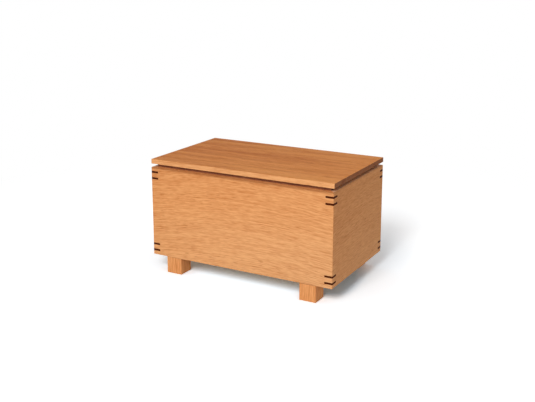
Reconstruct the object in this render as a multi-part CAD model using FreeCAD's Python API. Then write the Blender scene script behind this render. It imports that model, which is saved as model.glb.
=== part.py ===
import FreeCAD, Part
import os
from FreeCAD import Rotation, Vector

# A wooden tool box with a sliding lid, built as a joiner would build it.
#
# Four mitred walls are locked at every corner by thin keys of darker wood.  A tongued
# bottom panel sits in a groove round the walls, and four square feet carry the box.
# The lid is one board that floats above the rim.  Two runners under it slide beneath
# the lips of two rails inside the long walls, so it cannot lift, and it slides off
# towards +X.  Shut, it lies on the rails and its runners butt against a stop strip on
# the -X end wall.
#
# Frame: X along the length, Y front (-) to back (+), Z up.  The origin is on the floor
# under the middle of the box.  All sizes are in millimetres.

# ---- the case ---------------------------------------------------------------------
BOX_LENGTH = 500.0
BOX_DEPTH = 300.0
WALL_HEIGHT = 229.0
WALL_THICKNESS = 12.0
EDGE_ROUND = 1.2          # radius of the sanded outer edges

# ---- the corner keys: triangles let into saw cuts across each mitre -----------------
KEY_THICKNESS = 5.0
KEY_LEG = 20.0            # how far a key shows along each face
KEY_MARGIN = 12.5         # wall edge to the middle of the nearest key
KEY_PITCH = 16.0          # between the two keys of a pair

# ---- the bottom panel ---------------------------------------------------------------
GROOVE_SHARE = 0.5        # depth of the groove, as a share of the wall
GROOVE_LIP = 3.0          # wall left under the groove
TONGUE_THICKNESS = 5.0
PANEL_CLEARANCE = 0.3     # round the panel, for the wood to move
GROOVE_CLEARANCE = 0.1    # over the tongue

# ---- the feet -----------------------------------------------------------------------
FOOT_LENGTH = 43.0        # along X
FOOT_DEPTH = 43.0         # along Y
FOOT_HEIGHT = 42.0
FOOT_INSET = 41.0         # end of the box to the foot's outer side

# ---- the lid ------------------------------------------------------------------------
LID_THICKNESS = 12.0
LID_GAP = 8.0             # shadow gap between the rim and the lid
LID_OVERHANG = 1.0        # past each end of the box
LID_SETBACK = 1.5         # inside the front and back faces
LID_ROUND = 1.0

# ---- rails, runners and stop --------------------------------------------------------
SLIDE_CLEARANCE = 0.3     # between sliding faces, up and down
SIDE_CLEARANCE = 0.5      # between sliding faces, sideways
RIM_CLEARANCE = 0.5       # runner above the end wall that it passes over
RAIL_THICKNESS = 8.0
RAIL_DROP = 30.0          # rail below the rim
RAIL_LIP_REACH = 5.0
RAIL_LIP_THICKNESS = 3.0
RAIL_END_CLEARANCE = 0.3
RUNNER_WIDTH = 14.0       # the part glued and screwed to the lid
STOP_THICKNESS = 8.0
STOP_DROP = 24.0

# ---- screws: (shank radius, head radius, length) ------------------------------------
RAIL_SCREW = (1.5, 3.0, 16.0)
RUNNER_SCREW = (1.5, 3.0, 14.0)
STOP_SCREW = (1.5, 3.0, 16.0)
FOOT_SCREW = (2.0, 4.0, 35.0)
RAIL_SCREWS = 4
RUNNER_SCREWS = 4
STOP_SCREWS = 3
SCREW_END_MARGIN = 30.0   # end of a strip to its first screw
RAIL_SCREW_DROP = 15.0    # rim to the line of the rail and stop screws
FOOT_SCREW_SPACING = 22.0
FOOT_SCREW_INSET = 27.0   # foot's outer face to the line of its screws
SCREW_CLEARANCE = 0.1     # hole round a screw
SCREW_SINK = 0.3          # head below the surface
RECESS_WIDTH = 0.3        # slot of the cross recess, as a share of the head radius
RECESS_REACH = 0.6        # arm of the cross recess, as a share of the head radius

# ---- places that follow from the sizes ----------------------------------------------
HALF_LENGTH = BOX_LENGTH / 2
HALF_DEPTH = BOX_DEPTH / 2
INNER_X = HALF_LENGTH - WALL_THICKNESS
INNER_Y = HALF_DEPTH - WALL_THICKNESS
GROOVE_DEPTH = WALL_THICKNESS * GROOVE_SHARE
BASE_Z = FOOT_HEIGHT
RIM_Z = BASE_Z + WALL_HEIGHT
TONGUE_Z = BASE_Z + GROOVE_LIP
PANEL_TOP_Z = TONGUE_Z + TONGUE_THICKNESS
LID_UNDER_Z = RIM_Z + LID_GAP
RAIL_FACE_Y = INNER_Y - RAIL_THICKNESS
LIP_EDGE_Y = RAIL_FACE_Y - RAIL_LIP_REACH
LIP_UNDER_Z = LID_UNDER_Z - RAIL_LIP_THICKNESS
RUNNER_Y = LIP_EDGE_Y - SIDE_CLEARANCE
STOP_FACE_X = -INNER_X + STOP_THICKNESS
RUNNER_END_X = -STOP_FACE_X


def block(x0, x1, y0, y1, z0, z1):
    """A box between two corners."""
    return Part.makeBox(x1 - x0, y1 - y0, z1 - z0, Vector(x0, y0, z0))


def prism(outline, z0, z1):
    """A flat outline in X and Y, raised from z0 to z1."""
    points = [Vector(x, y, z0) for x, y in outline]
    face = Part.Face(Part.makePolygon(points + points[:1]))
    return face.extrude(Vector(0, 0, z1 - z0))


def strip(outline, x0, x1):
    """A strip of wood along X whose section is an outline in Y and Z."""
    points = [Vector(x0, y, z) for y, z in outline]
    face = Part.Face(Part.makePolygon(points + points[:1]))
    return face.extrude(Vector(x1 - x0, 0, 0))


def to_back(shape):
    """The same piece for the back of the box."""
    return shape.mirror(Vector(0, 0, 0), Vector(0, 1, 0))


def spread(count, reach):
    """Evenly spaced places from -reach to reach."""
    return [reach * (2 * i / (count - 1) - 1) for i in range(count)]


# ---- screws ---------------------------------------------------------------------------
def turned(outline):
    """A round piece about Z whose outline is radius and height, pair by pair."""
    points = [Vector(radius, 0, z) for radius, z in outline]
    face = Part.Face(Part.makePolygon(points + points[:1]))
    return face.revolve(Vector(0, 0, 0), Vector(0, 0, 1), 360)


def wood_screw(size):
    """A countersunk wood screw with a cross recess, pointing down from the origin."""
    shank, head, length = size
    cone = head - shank
    screw = turned([(0, 0), (head, 0), (shank, -cone), (shank, shank - length), (0, -length)])
    arm, half = head * RECESS_REACH, head * RECESS_WIDTH / 2
    recess = block(-arm, arm, -half, half, -cone, 0).fuse(block(-half, half, -arm, arm, -cone, 0))
    return screw.cut(recess)


def screw_hole(size):
    """The hole that a screw needs, open to the surface above its head."""
    shank, head, length = size
    cone = head - shank
    gap = SCREW_CLEARANCE
    return turned([
        (0, 2 * SCREW_SINK),
        (head + gap, 2 * SCREW_SINK),
        (head + gap, -gap),
        (shank + gap, -cone - gap),
        (shank + gap, shank - length),
        (0, -length - gap),
    ])


def placed(shape, point, direction):
    """A screw or its hole, with its head at a surface point and its tip along direction."""
    piece = shape.copy()
    inward = Vector(*direction)
    head = Vector(*point) + inward * SCREW_SINK
    piece.Placement = FreeCAD.Placement(head, Rotation(Vector(0, 0, -1), inward))
    return piece


def screws_at(size, points, direction):
    """The screws of one row as one group of solids, and their holes."""
    screws = [placed(wood_screw(size), p, direction) for p in points]
    holes = Part.makeCompound([placed(screw_hole(size), p, direction) for p in points])
    return Part.makeCompound(screws), holes


def rail_screw_points():
    """Heads on the inner face of the front rail."""
    z = RIM_Z - RAIL_SCREW_DROP
    return [(x, -RAIL_FACE_Y, z) for x in spread(RAIL_SCREWS, INNER_X - SCREW_END_MARGIN)]


def runner_screw_points():
    """Heads on the underside of the front runner."""
    y = -RUNNER_Y + RUNNER_WIDTH / 2
    z = RIM_Z + RIM_CLEARANCE
    return [(x, y, z) for x in spread(RUNNER_SCREWS, RUNNER_END_X - SCREW_END_MARGIN)]


def stop_screw_points():
    """Heads on the inner face of the stop strip."""
    z = RIM_Z - RAIL_SCREW_DROP
    return [(STOP_FACE_X, y, z) for y in spread(STOP_SCREWS, LIP_EDGE_Y - SCREW_END_MARGIN)]


def foot_middle_x(side):
    """Where the middle of a foot lies along the box."""
    return side * (HALF_LENGTH - FOOT_INSET - FOOT_LENGTH / 2)


def foot_screw_points(side_x, side_y):
    """Heads on top of the bottom panel, over one foot."""
    y = side_y * (HALF_DEPTH - FOOT_SCREW_INSET)
    middle = foot_middle_x(side_x)
    return [(middle + s * FOOT_SCREW_SPACING / 2, y, PANEL_TOP_Z) for s in (-1, 1)]


# ---- the case ---------------------------------------------------------------------------
def outer_form():
    """The outside of the four walls together, with sanded edges."""
    form = block(-HALF_LENGTH, HALF_LENGTH, -HALF_DEPTH, HALF_DEPTH, BASE_Z, RIM_Z)
    return form.makeFillet(EDGE_ROUND, form.Edges)


def panel_groove():
    """The groove round the inside of the walls that holds the panel's tongue."""
    x, y = INNER_X + GROOVE_DEPTH, INNER_Y + GROOVE_DEPTH
    return block(-x, x, -y, y, TONGUE_Z, PANEL_TOP_Z + GROOVE_CLEARANCE)


def key_heights():
    """The middle of each key, from the lowest up."""
    low, high = BASE_Z + KEY_MARGIN, RIM_Z - KEY_MARGIN
    return [low, low + KEY_PITCH, high - KEY_PITCH, high]


def key_slot(side_x, side_y, z):
    """The saw cut for one key: a right triangle in the corner of the box."""
    x, y = side_x * HALF_LENGTH, side_y * HALF_DEPTH
    outline = [(x, y), (x - side_x * KEY_LEG, y), (x, y - side_y * KEY_LEG)]
    return prism(outline, z - KEY_THICKNESS / 2, z + KEY_THICKNESS / 2)


def corners():
    """Every corner of the box, with its name and its two signs."""
    for row, side_y in (("front", -1), ("back", 1)):
        for end, side_x in (("left", -1), ("right", 1)):
            yield f"{row}_{end}", side_x, side_y


def mitred_walls(form):
    """The four walls, split along the mitres, before any hole is made in them."""
    shell = form.cut(block(-INNER_X, INNER_X, -INNER_Y, INNER_Y, BASE_Z, RIM_Z))
    shell = shell.cut(panel_groove())
    for _, side_x, side_y in corners():
        for z in key_heights():
            shell = shell.cut(key_slot(side_x, side_y, z))
    walls = {}
    for name, side in (("front_wall", -1), ("back_wall", 1)):
        outer, inner = side * HALF_DEPTH, side * INNER_Y
        plan = [(-HALF_LENGTH, outer), (HALF_LENGTH, outer), (INNER_X, inner), (-INNER_X, inner)]
        walls[name] = shell.common(prism(plan, BASE_Z, RIM_Z))
    for name, side in (("left_wall", -1), ("right_wall", 1)):
        outer, inner = side * HALF_LENGTH, side * INNER_X
        plan = [(outer, -HALF_DEPTH), (outer, HALF_DEPTH), (inner, INNER_Y), (inner, -INNER_Y)]
        walls[name] = shell.common(prism(plan, BASE_Z, RIM_Z))
    return walls


def corner_keys(form):
    """The sixteen keys, trimmed flush with the sanded corners."""
    keys = {}
    for corner, side_x, side_y in corners():
        for number, z in enumerate(key_heights(), start=1):
            keys[f"corner_key_{corner}_{number}"] = key_slot(side_x, side_y, z).common(form)
    return keys


def bottom_panel():
    """The panel: a tongue all round its upper part, flush with the walls underneath."""
    x, y = INNER_X - PANEL_CLEARANCE, INNER_Y - PANEL_CLEARANCE
    lower = block(-x, x, -y, y, BASE_Z, TONGUE_Z)
    x, y = x + GROOVE_DEPTH, y + GROOVE_DEPTH
    return lower.fuse(block(-x, x, -y, y, TONGUE_Z, PANEL_TOP_Z)).removeSplitter()


def foot(side_x, side_y):
    """One square foot, its outer face flush with the long wall above it."""
    middle = foot_middle_x(side_x)
    y0, y1 = sorted((side_y * HALF_DEPTH, side_y * (HALF_DEPTH - FOOT_DEPTH)))
    form = block(middle - FOOT_LENGTH / 2, middle + FOOT_LENGTH / 2, y0, y1, 0, BASE_Z)
    sanded = [edge for edge in form.Edges if edge.BoundBox.ZMin < BASE_Z / 2]
    return form.makeFillet(EDGE_ROUND, sanded)


# ---- the slide ----------------------------------------------------------------------------
def front_rail():
    """An upside-down L whose lip keeps the lid's runner down."""
    outline = [
        (-INNER_Y, RIM_Z - RAIL_DROP),
        (-INNER_Y, LID_UNDER_Z),
        (-LIP_EDGE_Y, LID_UNDER_Z),
        (-LIP_EDGE_Y, LIP_UNDER_Z),
        (-RAIL_FACE_Y, LIP_UNDER_Z),
        (-RAIL_FACE_Y, RIM_Z - RAIL_DROP),
    ]
    reach = INNER_X - RAIL_END_CLEARANCE
    return strip(outline, -reach, reach)


def front_runner():
    """The strip under the lid, with a tongue that slides below the rail's lip."""
    foot_z = RIM_Z + RIM_CLEARANCE
    tongue_top = LIP_UNDER_Z - SLIDE_CLEARANCE
    tongue_y = RAIL_FACE_Y - SIDE_CLEARANCE
    outline = [
        (-tongue_y, foot_z),
        (-tongue_y, tongue_top),
        (-RUNNER_Y, tongue_top),
        (-RUNNER_Y, LID_UNDER_Z),
        (-RUNNER_Y + RUNNER_WIDTH, LID_UNDER_Z),
        (-RUNNER_Y + RUNNER_WIDTH, foot_z),
    ]
    return strip(outline, -RUNNER_END_X, RUNNER_END_X)


def stop_strip():
    """The strip across the left end that the runners meet when the lid is shut."""
    return block(-INNER_X, STOP_FACE_X, -RUNNER_Y, RUNNER_Y, RIM_Z - STOP_DROP, LID_UNDER_Z)


def lid_board():
    """The lid itself, one flat board."""
    x, y = HALF_LENGTH + LID_OVERHANG, HALF_DEPTH - LID_SETBACK
    board = block(-x, x, -y, y, LID_UNDER_Z, LID_UNDER_Z + LID_THICKNESS)
    return board.makeFillet(LID_ROUND, board.Edges)


# ---- the whole box ------------------------------------------------------------------------
def make_slide(walls):
    """Rails, runners, stop and lid, with the screws that hold them."""
    rail_screws, rail_holes = screws_at(RAIL_SCREW, rail_screw_points(), (0, -1, 0))
    runner_screws, runner_holes = screws_at(RUNNER_SCREW, runner_screw_points(), (0, 0, 1))
    stop_screws, stop_holes = screws_at(STOP_SCREW, stop_screw_points(), (-1, 0, 0))
    rail = front_rail().cut(rail_holes)
    runner = front_runner().cut(runner_holes)
    walls["front_wall"] = walls["front_wall"].cut(rail_holes)
    walls["back_wall"] = walls["back_wall"].cut(to_back(rail_holes))
    walls["left_wall"] = walls["left_wall"].cut(stop_holes)
    return {
        "slide_rail_front": rail,
        "slide_rail_back": to_back(rail),
        "rail_screws_front": rail_screws,
        "rail_screws_back": to_back(rail_screws),
        "lid_stop_strip": stop_strip().cut(stop_holes),
        "stop_screws": stop_screws,
        "lid_board": lid_board().cut(runner_holes).cut(to_back(runner_holes)),
        "lid_runner_front": runner,
        "lid_runner_back": to_back(runner),
        "runner_screws_front": runner_screws,
        "runner_screws_back": to_back(runner_screws),
    }


def make_base():
    """The bottom panel and the feet, with the screws that join them."""
    panel = bottom_panel()
    pieces = {}
    for corner, side_x, side_y in corners():
        points = foot_screw_points(side_x, side_y)
        screws, holes = screws_at(FOOT_SCREW, points, (0, 0, -1))
        panel = panel.cut(holes)
        pieces[f"foot_{corner}"] = foot(side_x, side_y).cut(holes)
        pieces[f"foot_screws_{corner}"] = screws
    pieces["bottom_panel"] = panel
    return pieces


def make_box():
    """Every piece of the box, by its name."""
    form = outer_form()
    walls = mitred_walls(form)
    pieces = make_slide(walls)
    pieces.update(make_base())
    pieces.update(walls)
    pieces.update(corner_keys(form))
    return pieces


def export(pieces):
    """One file for each piece, and a line that says where it lies."""
    os.makedirs("parts", exist_ok=True)
    for name, shape in sorted(pieces.items()):
        solids = shape.Solids
        whole = solids[0] if len(solids) == 1 else Part.makeCompound(solids)
        whole.exportStep(f"parts/{name}.step")
        box = whole.BoundBox
        print(
            f"{name:28s} {len(solids):2d} solids  valid {whole.isValid()}  "
            f"{whole.Volume / 1000:9.3f} cm3  "
            f"x {box.XMin:7.1f} {box.XMax:7.1f}  y {box.YMin:7.1f} {box.YMax:7.1f}  "
            f"z {box.ZMin:6.1f} {box.ZMax:6.1f}"
        )


export(make_box())
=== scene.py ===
"""Finishes a wooden tool box with a sliding lid: its boards, keys, fittings and a studio stage."""

import math
from dataclasses import dataclass
from typing import NamedTuple

import bpy
from bpy.props import FloatProperty, FloatVectorProperty, PointerProperty
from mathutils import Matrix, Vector


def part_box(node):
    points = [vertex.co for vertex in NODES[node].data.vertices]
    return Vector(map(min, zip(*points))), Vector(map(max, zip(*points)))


bl_info = {
    "name": "Sliding Lid Tool Box",
    "version": (1, 0, 0),
    "blender": (4, 5, 0),
    "location": "View3D > Sidebar > Tool Box",
    "description": "Grain, finish and studio stage for a keyed wooden tool box with a sliding lid",
    "category": "Object",
}

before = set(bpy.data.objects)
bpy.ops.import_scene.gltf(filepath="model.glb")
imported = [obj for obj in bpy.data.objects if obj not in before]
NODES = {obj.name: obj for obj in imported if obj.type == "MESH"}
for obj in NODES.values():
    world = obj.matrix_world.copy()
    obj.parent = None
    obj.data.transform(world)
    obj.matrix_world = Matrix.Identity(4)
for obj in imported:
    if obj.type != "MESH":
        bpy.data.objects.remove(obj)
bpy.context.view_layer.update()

ALONG = (1, 0, 0)       # the box's length, the way the lid slides off
ACROSS = (0, 1, 0)      # from its front to its back
UP = (0, 0, 1)
WHITE = (1, 1, 1, 1)


# ---- settings that a user would change ------------------------------------------------
def colour(name, description, default):
    """A colour setting, in linear light."""
    return FloatVectorProperty(
        name=name, description=description, default=default,
        subtype="COLOR", size=3, min=0.0, max=1.0,
    )


def share(name, description, default):
    """A setting between 0 and 1."""
    return FloatProperty(
        name=name, description=description, default=default, subtype="FACTOR", min=0.0, max=1.0,
    )


def distance(name, description, default):
    """A length, in metres."""
    return FloatProperty(
        name=name, description=description, default=default, subtype="DISTANCE", unit="LENGTH",
    )


class ToolBoxWood(bpy.types.PropertyGroup):
    """The pale oiled wood of the box."""

    pale: colour("Pale wood", "The palest streaks of the wood", (0.77, 0.357, 0.136))
    deep: colour("Deep wood", "The darkest streaks of the wood", (0.53, 0.185, 0.054))
    sap: colour("Sapwood", "Tint of the wood far from the heart of the tree", (1.0, 1.12, 1.30))
    # Painted shade: the tint that darkens what looks up, such as the lid's top.
    tan: colour("Tan", "Tint of a surface that daylight has darkened", (0.935, 0.765, 0.515))
    pore: colour("Pores", "The bottom of an open pore", (0.20, 0.055, 0.012))
    bare: colour("Bare wood", "Wood that has had no oil and no daylight", (0.74, 0.62, 0.46))
    ring: distance("Ring spacing", "From one growth ring to the next", 0.0046)
    # Painted shade: how dark the wall is painted just under the rim, where the lid shades it.
    rim: share("Rim", "How dark hands have made the wall just under the rim", 0.64)
    end_share: share("End grain", "How much of its lightness the wood keeps on end grain", 0.32)
    roughness: share("Roughness", "Roughness of the oiled surface", 0.60)
    relief: distance("Relief", "Depth of the pores and fibres", 0.00005)


class ToolBoxFittings(bpy.types.PropertyGroup):
    """The corner keys, the parts of the lid's slide and the brass screws."""

    key_dark: colour("Key wood", "The darker streaks of the keys", (0.055, 0.010, 0.002))
    key_light: colour("Key streaks", "The lighter streaks of the keys", (0.110, 0.022, 0.004))
    # The rails' wood is real, and its darkness is also painted shade for the gap under the lid.
    slide_dark: colour("Slide wood", "The darker streaks of the rails", (0.21, 0.08, 0.042))
    slide_light: colour("Slide streaks", "The lighter streaks of the rails", (0.40, 0.165, 0.082))
    brass: colour("Brass", "The heads of the screws", (0.72, 0.48, 0.20))


class ToolBoxStage(bpy.types.PropertyGroup):
    """The studio round the box."""

    ambient: share("Ambient", "Strength of the light from all round, at the horizon", 0.50)
    overhead: share("Overhead", "Light from straight above, as a share of the ambient light", 0.80)
    key_power: FloatProperty(
        name="Key light", description="Power of the soft light in front of the box",
        default=56.0, min=0.0, unit="POWER",
    )
    key_size: distance("Key size", "Width of the soft light in front of the box", 1.3)
    floor_tone: share("Floor", "Lightness of the floor as the box sees it", 0.80)


class ToolBoxSettings(bpy.types.PropertyGroup):
    """Everything about the look of the box."""

    wood: PointerProperty(type=ToolBoxWood)
    fittings: PointerProperty(type=ToolBoxFittings)
    stage: PointerProperty(type=ToolBoxStage)


# ---- materials as expressions ---------------------------------------------------------
class Value:
    """A number that changes over a surface. Arithmetic on it adds Math nodes."""

    def __init__(self, paint, socket):
        self.paint = paint
        self.socket = socket

    def math(self, operation, *others, clamp=False):
        """A Math node on this value and up to two others."""
        settings = {"operation": operation, "use_clamp": clamp}
        node = self.paint.node("ShaderNodeMath", settings, dict(enumerate((self, *others))))
        return Value(self.paint, node.outputs[0])

    def __add__(self, other):
        return self.math("ADD", other)

    def __mul__(self, other):
        return self.math("MULTIPLY", other)

    def __sub__(self, other):
        return self.math("SUBTRACT", other)

    def __rsub__(self, other):
        return (self * -1.0) + other

    def __truediv__(self, other):
        return self.math("DIVIDE", other)

    def __abs__(self):
        return self.math("ABSOLUTE")

    __radd__ = __add__
    __rmul__ = __mul__

    def fraction(self):
        """What is left of the value above a whole number."""
        return self.math("FRACT")

    def clamped(self):
        """The value, kept between 0 and 1."""
        return self.math("ADD", 0.0, clamp=True)

    def step(self, low, high):
        """0 below low, 1 above high, and smooth between them."""
        settings = {"interpolation_type": "SMOOTHSTEP"}
        inputs = {"Value": self, "From Min": low, "From Max": high}
        node = self.paint.node("ShaderNodeMapRange", settings, inputs)
        return Value(self.paint, node.outputs["Result"])


class Paint:
    """The nodes of one material, or of the world."""

    def __init__(self, name, world=False):
        self.owner = (bpy.data.worlds if world else bpy.data.materials).new(name)
        self.owner.use_nodes = True
        self.tree = self.owner.node_tree
        self.tree.nodes.clear()

    def node(self, kind, settings=None, inputs=None):
        """A node of a type, with its settings set first and its sockets filled or linked."""
        node = self.tree.nodes.new(kind)
        for name, value in (settings or {}).items():
            setattr(node, name, value)
        for key, value in (inputs or {}).items():
            source = value.socket if isinstance(value, Value) else value
            if isinstance(source, bpy.types.NodeSocket):
                self.tree.links.new(source, node.inputs[key])
            else:
                node.inputs[key].default_value = source
        return node

    def vector(self, operation, *inputs, scale=None):
        """A Vector Math node whose result is a vector."""
        sockets = dict(enumerate(inputs))
        if scale is not None:
            sockets["Scale"] = scale
        node = self.node("ShaderNodeVectorMath", {"operation": operation}, sockets)
        return node.outputs["Vector"]

    def measure(self, operation, *inputs):
        """A Vector Math node whose result is a number."""
        node = self.node("ShaderNodeVectorMath", {"operation": operation}, dict(enumerate(inputs)))
        return Value(self, node.outputs["Value"])

    def noise_node(self, point, scale, detail, roughness):
        """A Noise Texture node at a point."""
        inputs = {"Vector": point, "Scale": scale, "Detail": detail, "Roughness": roughness}
        return self.node("ShaderNodeTexNoise", None, inputs)

    def noise(self, point, scale, detail, roughness):
        """Noise at a point, from about 0 to 1 with its middle at one half."""
        return Value(self, self.noise_node(point, scale, detail, roughness).outputs["Fac"])

    def noise_vector(self, point, scale, detail, roughness):
        """Three noises at a point, as a vector."""
        return self.noise_node(point, scale, detail, roughness).outputs["Color"]

    def mix(self, factor, first, second, blend="MIX"):
        """A colour between two colours."""
        settings = {"data_type": "RGBA", "blend_type": blend}
        inputs = {0: factor, 6: opaque(first), 7: opaque(second)}
        return self.node("ShaderNodeMix", settings, inputs).outputs[2]

    def tint(self, first, second):
        """A colour multiplied by another."""
        return self.mix(1.0, first, second, "MULTIPLY")

    def finish(self, shader):
        """Ends the material with this shader and hands the material over."""
        self.node("ShaderNodeOutputMaterial", None, {"Surface": shader})
        return self.owner


def opaque(value):
    """A colour with its fourth number, or a link as it is."""
    if isinstance(value, bpy.types.NodeSocket):
        return value
    return (*tuple(value)[:3], 1.0)


def scaled(value, tone):
    """A colour made lighter or darker."""
    return tuple(channel * tone for channel in value)


# ---- wood -----------------------------------------------------------------------------
class Mark(NamedTuple):
    """One kind of mark in the wood, made of noise."""

    long: float                 # how many times as long as wide it is
    fine: float                 # waves of the noise to the metre, across the grain
    detail: float = 2.0         # how many sets of finer waves lie on top of those
    roughness: float = 0.5      # and how strong they are
    edge: tuple = (0.0, 1.0)    # where the noise turns from no mark to the full mark


BEND = Mark(6.0, 14.0)                           # the wander of the growth rings
YEAR = Mark(6.0, 30.0)                           # wide years and narrow ones
BROAD = Mark(6.0, 6.0, 1.0)                      # slow changes of colour
BAND = Mark(28.0, 45.0)                          # broad lengthwise bands
STREAK = Mark(28.0, 210.0, 3.0, 0.65)            # fine lengthwise streaks
GRIT = Mark(9.0, 420.0, 1.0, 0.6)
PATCH = Mark(6.0, 26.0, edge=(0.38, 0.62))       # where the flecks gather
FLECK = Mark(9.0, 380.0, 1.0, edge=(0.57, 0.67))
PORE = Mark(18.0, 1300.0, 1.0, edge=(0.52, 0.68))

RING_BEND = 0.012            # metres, the width of the band that a growth ring wanders in
YEAR_SPREAD = 1.5            # rings by which a year may run early or late
LATE_START = (0.30, 0.88)    # share of a year in which the dark late wood sets in
LATE_STOP = (0.90, 1.00)     # and in which it breaks off
SAP_START = (0.10, 0.42)     # metres from the heart of the tree over which sapwood sets in
PLAIN_DEPTH = 0.31           # where unmarked wood lies between the pale colour, 0, and the deep, 1

RIM_REACH = 0.007            # metres from the rim down to where the painted shade under it ends

# How far a face is turned towards a direction, from 0 at a right angle to 1 straight at it, where
# an effect sets in and where it is full.
UPWARD = (0.50, 0.90)        # painted shade, on what looks up
FLAT_TOP = (0.85, 0.98)      # painted light, and an end of the painted rim shade, on a board's flat top
END_GRAIN = (0.55, 0.95)     # end grain, on what looks along the fibres

WOOD_SPECULAR = 0.07         # the oiled boards hardly shine,
DENSE_SPECULAR = 0.03        # and the keys and the slide even less


@dataclass
class Board:
    """How a board was sawn, where in its tree it grew, and the oil, light and shade painted on it.
    """

    node: str
    grain: tuple                # the way its fibres run
    heart: tuple                # metres from the board's middle to the heart of the tree
    lean: tuple = (0, 0, 0)     # how far the tree leaned away from the grain
    bow: tuple = (0, 0, 0)      # how the fibres curve away from a straight line
    taper: float = 0.0          # how much nearer the bark it comes with each metre of its length
    tone: float = 1.0           # how light it is beside the other boards
    figure: float = 1.0         # how strong its rings and streaks are
    band: float = 0.3           # how strong its broad lengthwise bands are
    fade: tuple = (0, 0, 0)     # the way in which it gets paler, and how fast; on the front and right walls, painted shade
    tan: float = 0.0            # how much painted shade darkens what looks up
    bare: float = 0.0           # how far it was left without oil
    top_light: float = 0.0      # how much painted light lightens its flat top, in the shade under the lid
    rim: float = 0.0            # height of the rim under which shade is painted, or 0 for none
    rim_shade: float = 1.0           # and how strong that painted shade is


class Grain:
    """Where each point of a board lies in its tree, and the marks that the wood has there."""

    def __init__(self, paint, board, place):
        low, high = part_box(board.node)
        self.paint = paint
        self.axis = tuple((Vector(board.grain) + Vector(board.lean)).normalized())
        self.centred = paint.vector("SUBTRACT", place, tuple((low + high) / 2))
        straight = paint.vector("SUBTRACT", self.centred, board.heart)
        self.length = paint.measure("DOT_PRODUCT", straight, self.axis)
        arch = paint.vector("SCALE", board.bow, scale=self.length * self.length)
        self.point = paint.vector("ADD", straight, arch)
        self.squeezed = {}

        self.broad = self.ripple(BROAD)
        self.band = self.ripple(BAND)
        self.streak = self.ripple(STREAK)
        self.grit = self.ripple(GRIT)
        self.patch = self.spots(PATCH)
        self.fleck = self.spots(FLECK) * (0.15 + self.patch * 0.55)    # faint outside the patches
        self.pore = self.spots(PORE)

    def along(self, times):
        """The point, squeezed along the grain so that noise comes out this many times as long."""
        if times not in self.squeezed:
            shift = self.paint.vector("SCALE", self.axis, scale=self.length * (1 - 1 / times))
            self.squeezed[times] = self.paint.vector("SUBTRACT", self.point, shift)
        return self.squeezed[times]

    def noise(self, mark):
        """The noise of a mark, from about 0 to 1."""
        return self.paint.noise(self.along(mark.long), mark.fine, mark.detail, mark.roughness)

    def ripple(self, mark):
        """A mark that comes and goes evenly, from about -0.5 to 0.5."""
        return self.noise(mark) - 0.5

    def spots(self, mark):
        """A mark that is there or not: 1 on it, 0 off it, and soft between them."""
        return self.noise(mark).step(*mark.edge)

    def radius(self):
        """Metres from the heart of the tree, bent a little as growth rings are."""
        paint = self.paint
        bend = paint.noise_vector(self.along(BEND.long), BEND.fine, BEND.detail, BEND.roughness)
        wander = paint.vector("SUBTRACT", bend, (0.5, 0.5, 0.5))
        bent = paint.vector("ADD", self.point, paint.vector("SCALE", wander, scale=RING_BEND))
        return paint.measure("LENGTH", paint.vector("CROSS_PRODUCT", bent, self.axis))


def grown_colour(paint, board, wood, grain):
    """The wood's grown colour and its slope: each mark takes it some way from the pale to the
    deep.
    """
    radius = grain.radius()
    year = (radius / wood.ring + grain.noise(YEAR) * YEAR_SPREAD).fraction()
    late = year.step(*LATE_START) * (1 - year.step(*LATE_STOP))
    figure = late * (0.05 + grain.patch * 0.15) + grain.streak * 1.2 + grain.fleck * 0.5
    # A slope of lightness across the board, which on the front and right walls is painted shade.
    drift = paint.measure("DOT_PRODUCT", grain.centred, board.fade)
    depth = PLAIN_DEPTH + figure * board.figure
    depth = depth + grain.grit * 1.3 + grain.broad * 0.5 + grain.band * board.band - drift
    pale = scaled(wood.pale, board.tone)
    deep = scaled(wood.deep, board.tone)
    body = paint.mix(depth.clamped(), pale, deep)
    outward = radius + grain.length * board.taper + grain.broad * 0.2
    body = paint.mix(outward.step(*SAP_START), body, paint.tint(body, wood.sap))
    return paint.mix(grain.pore * (0.08 + grain.fleck * 0.45), body, wood.pore)


def aged_colour(paint, board, wood, where, body):
    """What oil and the saw made of the wood's colour, and the light and shade painted on it."""
    level = paint.measure("DOT_PRODUCT", where["Normal"], UP)
    top = level.step(*FLAT_TOP)
    if board.bare:
        body = paint.mix(board.bare, body, wood.bare)
    # Painted shade: just under the rim, where the lid shades the wall, it is darkened towards the
    # pore colour.
    if board.rim:
        height = paint.measure("DOT_PRODUCT", where["Object"], UP)
        rim_shade = height.step(board.rim - RIM_REACH, board.rim) * (1 - top)
        body = paint.mix(rim_shade * (wood.rim * board.rim_shade), body, wood.pore)
    # Painted light: a flat top in the shade under the lid is lightened towards the bare colour.
    if board.top_light:
        body = paint.mix(top * board.top_light, body, wood.bare)
    # Painted shade: what looks up is darkened.
    if board.tan:
        body = paint.mix(level.step(*UPWARD) * board.tan, body, paint.tint(body, wood.tan))
    end = abs(paint.measure("DOT_PRODUCT", where["Normal"], board.grain)).step(*END_GRAIN)
    return paint.mix(end, body, paint.tint(body, end_tint(wood.end_share)))


def end_tint(keep):
    """End grain drinks more oil, so it is darker and redder."""
    return (keep * 1.20, keep * 0.91, keep * 0.84)


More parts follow.
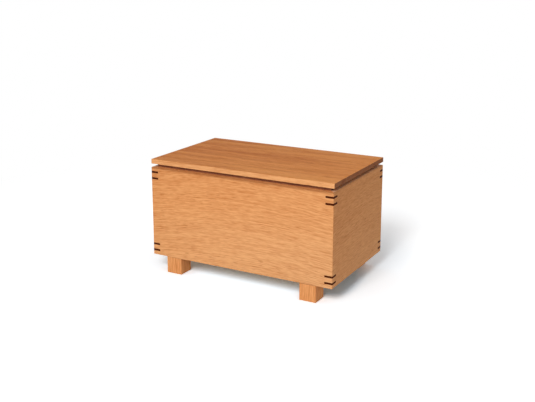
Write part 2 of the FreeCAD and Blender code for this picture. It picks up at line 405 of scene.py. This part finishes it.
def wood_material(board, wood):
    """Solid oiled wood, the same all through the board, so that end grain follows by itself."""
    paint = Paint(f"wood_{board.node}")
    where = paint.node("ShaderNodeTexCoord").outputs
    grain = Grain(paint, board, where["Object"])
    body = grown_colour(paint, board, wood, grain)
    bump = paint.node("ShaderNodeBump", None, {
        "Strength": 0.5,
        "Distance": wood.relief,
        "Height": grain.streak * 0.35 + grain.grit * 0.5 - grain.pore * 0.6,
    })
    shader = paint.node("ShaderNodeBsdfPrincipled", None, {
        "Base Color": aged_colour(paint, board, wood, where, body),
        "Roughness": wood.roughness + grain.streak * 0.25 + grain.pore * 0.10,
        "Specular IOR Level": WOOD_SPECULAR,
        "Normal": bump.outputs["Normal"],
    })
    return paint.finish(shader.outputs[0])


def dense_material(name, dark, light, squeeze, fine, roughness):
    """Dense wood with fine streaks, which run along the axes that squeeze leaves at 1."""
    paint = Paint(name)
    where = paint.node("ShaderNodeTexCoord").outputs["Object"]
    point = paint.vector("MULTIPLY", where, squeeze)
    streak = paint.noise(point, fine, 3.0, 0.6)
    bump = paint.node("ShaderNodeBump", None, {
        "Strength": 0.4, "Distance": 0.0001, "Height": streak,
    })
    shader = paint.node("ShaderNodeBsdfPrincipled", None, {
        "Base Color": paint.mix(streak.step(0.40, 0.75), dark, light),
        "Roughness": roughness + streak * 0.15,
        "Specular IOR Level": DENSE_SPECULAR,
        "Normal": bump.outputs["Normal"],
    })
    return paint.finish(shader.outputs[0])


def key_material(fittings):
    """The very dark wood of the corner keys, with level streaks."""
    return dense_material(
        "key_dark_wood", fittings.key_dark, fittings.key_light,
        squeeze=(1, 1, 8), fine=260.0, roughness=0.55,
    )


def slide_material(name, fittings, squeeze):
    """The waxed brown wood of the rails, runners and stop strip, also dark as painted shade in the
    gap.
    """
    return dense_material(
        name, fittings.slide_dark, fittings.slide_light, squeeze, fine=60.0, roughness=0.45,
    )


def brass_material(fittings):
    """Turned brass with a little tarnish."""
    paint = Paint("screw_brass")
    where = paint.node("ShaderNodeTexCoord").outputs["Object"]
    tarnish = paint.noise(where, 900.0, 4.0, 0.65)
    dull = scaled(fittings.brass, 0.45)
    shader = paint.node("ShaderNodeBsdfPrincipled", None, {
        "Base Color": paint.mix(tarnish.step(0.45, 0.75), fittings.brass, dull),
        "Metallic": 1.0,
        "Roughness": 0.26 + tarnish * 0.2,
    })
    return paint.finish(shader.outputs[0])


# ---- one operator for each group of pieces --------------------------------------------
END_WALL_TOP_LIGHT = 0.45      # painted light on the end walls' tops, in the shade under the lid


def dress(node, material):
    """Gives one node its material."""
    mesh = NODES[node].data
    mesh.materials.clear()
    mesh.materials.append(material)


def dress_boards(boards, wood):
    """Gives each board a wood of its own."""
    for board in boards:
        dress(board.node, wood_material(board, wood))


class TOOLBOX_OT_walls(bpy.types.Operator):
    """Gives the four walls and the bottom panel their grain"""

    bl_idname = "toolbox.walls"
    bl_label = "Walls and bottom"

    def execute(self, context):
        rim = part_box("front_wall")[1][2]
        # Each wall gets painted shade just under its rim, and the end walls painted light on their
        # tops, in the shade under the lid.
        boards = (
            # Painted shade: the front wall is darker towards the top.
            Board("front_wall", ALONG, heart=(0.05, 0.06, 0.24), bow=(0, 0, 0.25), taper=0.25,
                  fade=(0, 0, -1.25), rim=rim),
            Board("back_wall", ALONG, heart=(-0.1, -0.06, -0.2), bow=(0, 0, -0.2), rim=rim),
            Board("left_wall", ACROSS, heart=(0.08, 0, 0.2), bow=(0, 0, 0.3), figure=0.6,
                  top_light=END_WALL_TOP_LIGHT, rim=rim),
            # Painted shade: the right wall is darker towards the front and the top.
            Board("right_wall", ACROSS, heart=(-0.08, 0.02, 0.13), bow=(0, 0, 0.3), figure=0.5,
                  fade=(0, 0.45, -0.6), top_light=END_WALL_TOP_LIGHT, rim=rim, rim_shade=0.35),
            Board("bottom_panel", ALONG, heart=(0, 0.05, -0.1), bare=0.8),
        )
        dress_boards(boards, context.scene.tool_box.wood)
        return {"FINISHED"}


class TOOLBOX_OT_keys(bpy.types.Operator):
    """Gives the corner keys their dark wood"""

    bl_idname = "toolbox.keys"
    bl_label = "Corner keys"

    def execute(self, context):
        material = key_material(context.scene.tool_box.fittings)
        for name in NODES:
            if name.startswith("corner_key"):
                dress(name, material)
        return {"FINISHED"}


class TOOLBOX_OT_feet(bpy.types.Operator):
    """Gives the four feet upright grain"""

    bl_idname = "toolbox.feet"
    bl_label = "Feet"

    def execute(self, context):
        corners = [f"{row}_{end}" for row in ("front", "back") for end in ("left", "right")]
        boards = (
            Board(f"foot_{corner}", UP, heart=(0.05 - 0.03 * number, 0.07, 0),
                  lean=(0.03, 0.02, 0), tone=1.05)
            for number, corner in enumerate(corners)
        )
        dress_boards(boards, context.scene.tool_box.wood)
        return {"FINISHED"}


class TOOLBOX_OT_lid(bpy.types.Operator):
    """Gives the lid board its grain"""

    bl_idname = "toolbox.lid"
    bl_label = "Lid"

    def execute(self, context):
        # Painted shade: the lid's top is darker than its edges.
        board = Board("lid_board", ALONG, heart=(-0.85, 0.02, -0.16), lean=(0, 0.02, 0.05),
                      band=2.5, fade=(0.75, -0.5, 0), tan=1.0)
        dress_boards((board,), context.scene.tool_box.wood)
        return {"FINISHED"}


class TOOLBOX_OT_slide(bpy.types.Operator):
    """Gives the rails, the runners and the stop strip their waxed brown wood"""

    bl_idname = "toolbox.slide"
    bl_label = "Rails, runners and stop"

    def execute(self, context):
        fittings = context.scene.tool_box.fittings
        lengthwise = slide_material("slide_dark_wood", fittings, squeeze=(1, 9, 9))
        for name in NODES:
            if name.startswith(("slide_rail", "lid_runner")):
                dress(name, lengthwise)
        dress("lid_stop_strip", slide_material("stop_dark_wood", fittings, squeeze=(9, 1, 9)))
        return {"FINISHED"}


class TOOLBOX_OT_screws(bpy.types.Operator):
    """Gives the screws their brass"""

    bl_idname = "toolbox.screws"
    bl_label = "Screws"

    def execute(self, context):
        material = brass_material(context.scene.tool_box.fittings)
        for name in NODES:
            if "screws" in name:
                dress(name, material)
        return {"FINISHED"}


# ---- the stage ------------------------------------------------------------------------
# The floor's colour to the camera, which turns white wherever it is lit. Round the box it is
# painted light and shade: painted light under the box, which lightens it and takes out the tint
# that the wood's glow would give it, a painted shadow behind the front right foot, where the
# shade is deepest, and painted light away from the box, where only deep shade shows. Lengths are
# in metres, and rings are measured from the middle of the box. The floor lies at Z 0, so a Z of
# 1 or -1 below only keeps a division from failing.
FLOOR_REACH = 30.0                     # from the box to the floor's edge
FLOOR_NEAR = (1.32, 1.42, 1.49)
# Painted light away from the box, so that only deep shade shows.
FLOOR_AWAY = (1.75, 1.77, 1.79)
AWAY_RING = (0.28, 0.55)               # near up to the first, away from the second on
WHITE_RING = (0.60, 1.30)              # plain white, with no shade at all, from the second on
# Painted light under the box, lighter and cooler than the wood's warm glow leaves it.
FLOOR_UNDER = (1.50, 1.74, 1.95)
UNDER_HALF = (0.12, 0.16, 0.0)         # half the length and depth of the patch of painted light
UNDER_FADE = (0.0, 0.06)               # how far outside that patch the painted light fades
# Painted shadow behind the front right foot.
FLOOR_DEEP = (0.84, 1.00, 1.14)
DEEP_MIDDLE = (0.20, -0.045, 0.0)      # where the shade is deepest
DEEP_BACK = (0.061, 0.20, 1.0)         # how far it reaches to the right and to the back,
DEEP_FRONT = (-0.20, -0.07, -1.0)      # and to the left and to the front
DEEP_FADE = (0.5, 1.05)                # share of that reach over which it fades

KEY_PLACE = (0.38, -2.47, 1.85)
KEY_TARGET = (0.0, 0.0, 0.12)          # what the lamp faces

IMAGE_WIDTH = 535                      # pixels
SENSOR_WIDTH = 36.0                    # millimetres
CAMERA_PLACE = (0.98677, -1.79246, 0.76882)
CAMERA_YAW = math.radians(28.853)      # from +Y towards -X
CAMERA_PITCH = math.radians(12.423)    # below the horizon
CAMERA_FOCAL = 837.0                   # pixels of an image that is IMAGE_WIDTH wide
CAMERA_SHIFT = -0.10                   # share of the image's width


def seen_directly(paint):
    """1 for what the camera sees, directly or through metal and glass, and 0 for light."""
    path = paint.node("ShaderNodeLightPath").outputs
    camera = Value(paint, path["Is Camera Ray"])
    glossy = Value(paint, path["Is Glossy Ray"])
    clear = Value(paint, path["Is Transmission Ray"])
    return (camera + glossy + clear).clamped()


def floor_colour(paint, where, radius):
    """The floor's colour to the camera, round, beside and under the box, with painted light and
    shadow.
    """
    # Painted light away from the box.
    shown = paint.mix(radius.step(*AWAY_RING), FLOOR_NEAR, FLOOR_AWAY)

    # Painted shadow behind the front right foot.
    beside = paint.vector("SUBTRACT", where, DEEP_MIDDLE)
    backward = paint.vector("DIVIDE", beside, DEEP_BACK)
    forward = paint.vector("DIVIDE", beside, DEEP_FRONT)
    reached = paint.measure("LENGTH", paint.vector("MAXIMUM", backward, forward))
    shown = paint.mix(reached.step(*DEEP_FADE), FLOOR_DEEP, shown)

    # Painted light under the box.
    aside = paint.vector("SUBTRACT", paint.vector("ABSOLUTE", where), UNDER_HALF)
    outside = paint.measure("LENGTH", paint.vector("MAXIMUM", aside, (0, 0, 0)))
    return paint.mix(outside.step(*UNDER_FADE), FLOOR_UNDER, shown)


def floor_material(stage):
    """A pale floor that keeps the box's shadow and fades into the white backdrop."""
    paint = Paint("stage_floor")
    where = paint.node("ShaderNodeTexCoord").outputs["Object"]
    radius = paint.measure("LENGTH", where)
    seen = seen_directly(paint)
    tone = (stage.floor_tone, stage.floor_tone, stage.floor_tone)
    lit = paint.mix(seen, tone, floor_colour(paint, where, radius))
    diffuse = paint.node("ShaderNodeBsdfDiffuse", None, {"Color": lit})
    white = paint.node("ShaderNodeEmission", None, {"Color": WHITE, "Strength": 1.0})
    mixed = paint.node("ShaderNodeMixShader", None, {
        0: radius.step(*WHITE_RING) * seen, 1: diffuse.outputs[0], 2: white.outputs[0],
    })
    return paint.finish(mixed.outputs[0])


def add_floor(stage):
    """A floor so wide that its edge is lost in the white surround."""
    mesh = bpy.data.meshes.new("stage_floor")
    reach = FLOOR_REACH
    corners = [(-reach, -reach, 0), (reach, -reach, 0), (reach, reach, 0), (-reach, reach, 0)]
    mesh.from_pydata(corners, [], [(0, 1, 2, 3)])
    mesh.materials.append(floor_material(stage))
    floor = bpy.data.objects.new("stage_floor", mesh)
    bpy.context.scene.collection.objects.link(floor)


def add_world(stage):
    """An even white surround, which lights the box less strongly than it looks."""
    paint = Paint("studio", world=True)
    direction = paint.node("ShaderNodeTexCoord").outputs["Generated"]
    height = paint.measure("DOT_PRODUCT", direction, UP).clamped()
    light = (1 - height * (1 - stage.overhead)) * stage.ambient
    seen = seen_directly(paint)
    background = paint.node("ShaderNodeBackground", None, {
        "Color": WHITE, "Strength": seen + (1 - seen) * light,
    })
    paint.node("ShaderNodeOutputWorld", None, {"Surface": background.outputs[0]})
    bpy.context.scene.world = paint.owner


def add_key_light(stage):
    """A soft round lamp in front of the box, above it and a little to the right."""
    data = bpy.data.lights.new("key_light", "AREA")
    data.shape = "DISK"
    data.size = stage.key_size
    data.energy = stage.key_power
    lamp = bpy.data.objects.new("key_light", data)
    lamp.location = KEY_PLACE
    direction = Vector(KEY_TARGET) - lamp.location
    lamp.rotation_euler = direction.to_track_quat("-Z", "Y").to_euler()
    bpy.context.scene.collection.objects.link(lamp)


def add_camera():
    """The camera, in front of the box and to its right, looking a little down."""
    data = bpy.data.cameras.new("camera")
    data.sensor_width = SENSOR_WIDTH
    data.lens = CAMERA_FOCAL * SENSOR_WIDTH / IMAGE_WIDTH
    data.shift_y = CAMERA_SHIFT
    camera = bpy.data.objects.new("camera", data)
    camera.location = CAMERA_PLACE
    camera.rotation_euler = (math.pi / 2 - CAMERA_PITCH, 0, CAMERA_YAW)
    bpy.context.scene.collection.objects.link(camera)
    bpy.context.scene.camera = camera


class TOOLBOX_OT_stage(bpy.types.Operator):
    """Sets up the floor, the surround, the lamp and the camera"""

    bl_idname = "toolbox.stage"
    bl_label = "Stage"

    def execute(self, context):
        stage = context.scene.tool_box.stage
        context.scene.view_settings.view_transform = "Standard"
        add_floor(stage)
        add_world(stage)
        add_key_light(stage)
        add_camera()
        return {"FINISHED"}


# ---- the add-on -----------------------------------------------------------------------
GROUPS = (ToolBoxWood, ToolBoxFittings, ToolBoxStage, ToolBoxSettings)
OPERATORS = (
    TOOLBOX_OT_walls,
    TOOLBOX_OT_keys,
    TOOLBOX_OT_feet,
    TOOLBOX_OT_lid,
    TOOLBOX_OT_slide,
    TOOLBOX_OT_screws,
    TOOLBOX_OT_stage,
)


class TOOLBOX_PT_sidebar(bpy.types.Panel):
    """The tool box's settings and steps"""

    bl_label = "Tool Box"
    bl_idname = "TOOLBOX_PT_sidebar"
    bl_space_type = "VIEW_3D"
    bl_region_type = "UI"
    bl_category = "Tool Box"

    def draw(self, context):
        settings = context.scene.tool_box
        for group in (settings.wood, settings.fittings, settings.stage):
            box = self.layout.box()
            for name in group.bl_rna.properties.keys():
                if name not in ("rna_type", "name"):
                    box.prop(group, name)
        for operator in OPERATORS:
            self.layout.operator(operator.bl_idname)


CLASSES = (*GROUPS, *OPERATORS, TOOLBOX_PT_sidebar)


def register():
    """Adds the settings, the operators and the panel."""
    for item in CLASSES:
        bpy.utils.register_class(item)
    bpy.types.Scene.tool_box = PointerProperty(type=ToolBoxSettings)


def unregister():
    """Takes them away again."""
    del bpy.types.Scene.tool_box
    for item in reversed(CLASSES):
        bpy.utils.unregister_class(item)


def main():
    """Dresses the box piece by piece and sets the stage."""
    register()
    bpy.ops.toolbox.walls()
    bpy.ops.toolbox.keys()
    bpy.ops.toolbox.feet()
    bpy.ops.toolbox.lid()
    bpy.ops.toolbox.slide()
    bpy.ops.toolbox.screws()
    bpy.ops.toolbox.stage()


if __name__ == "__main__":
    main()
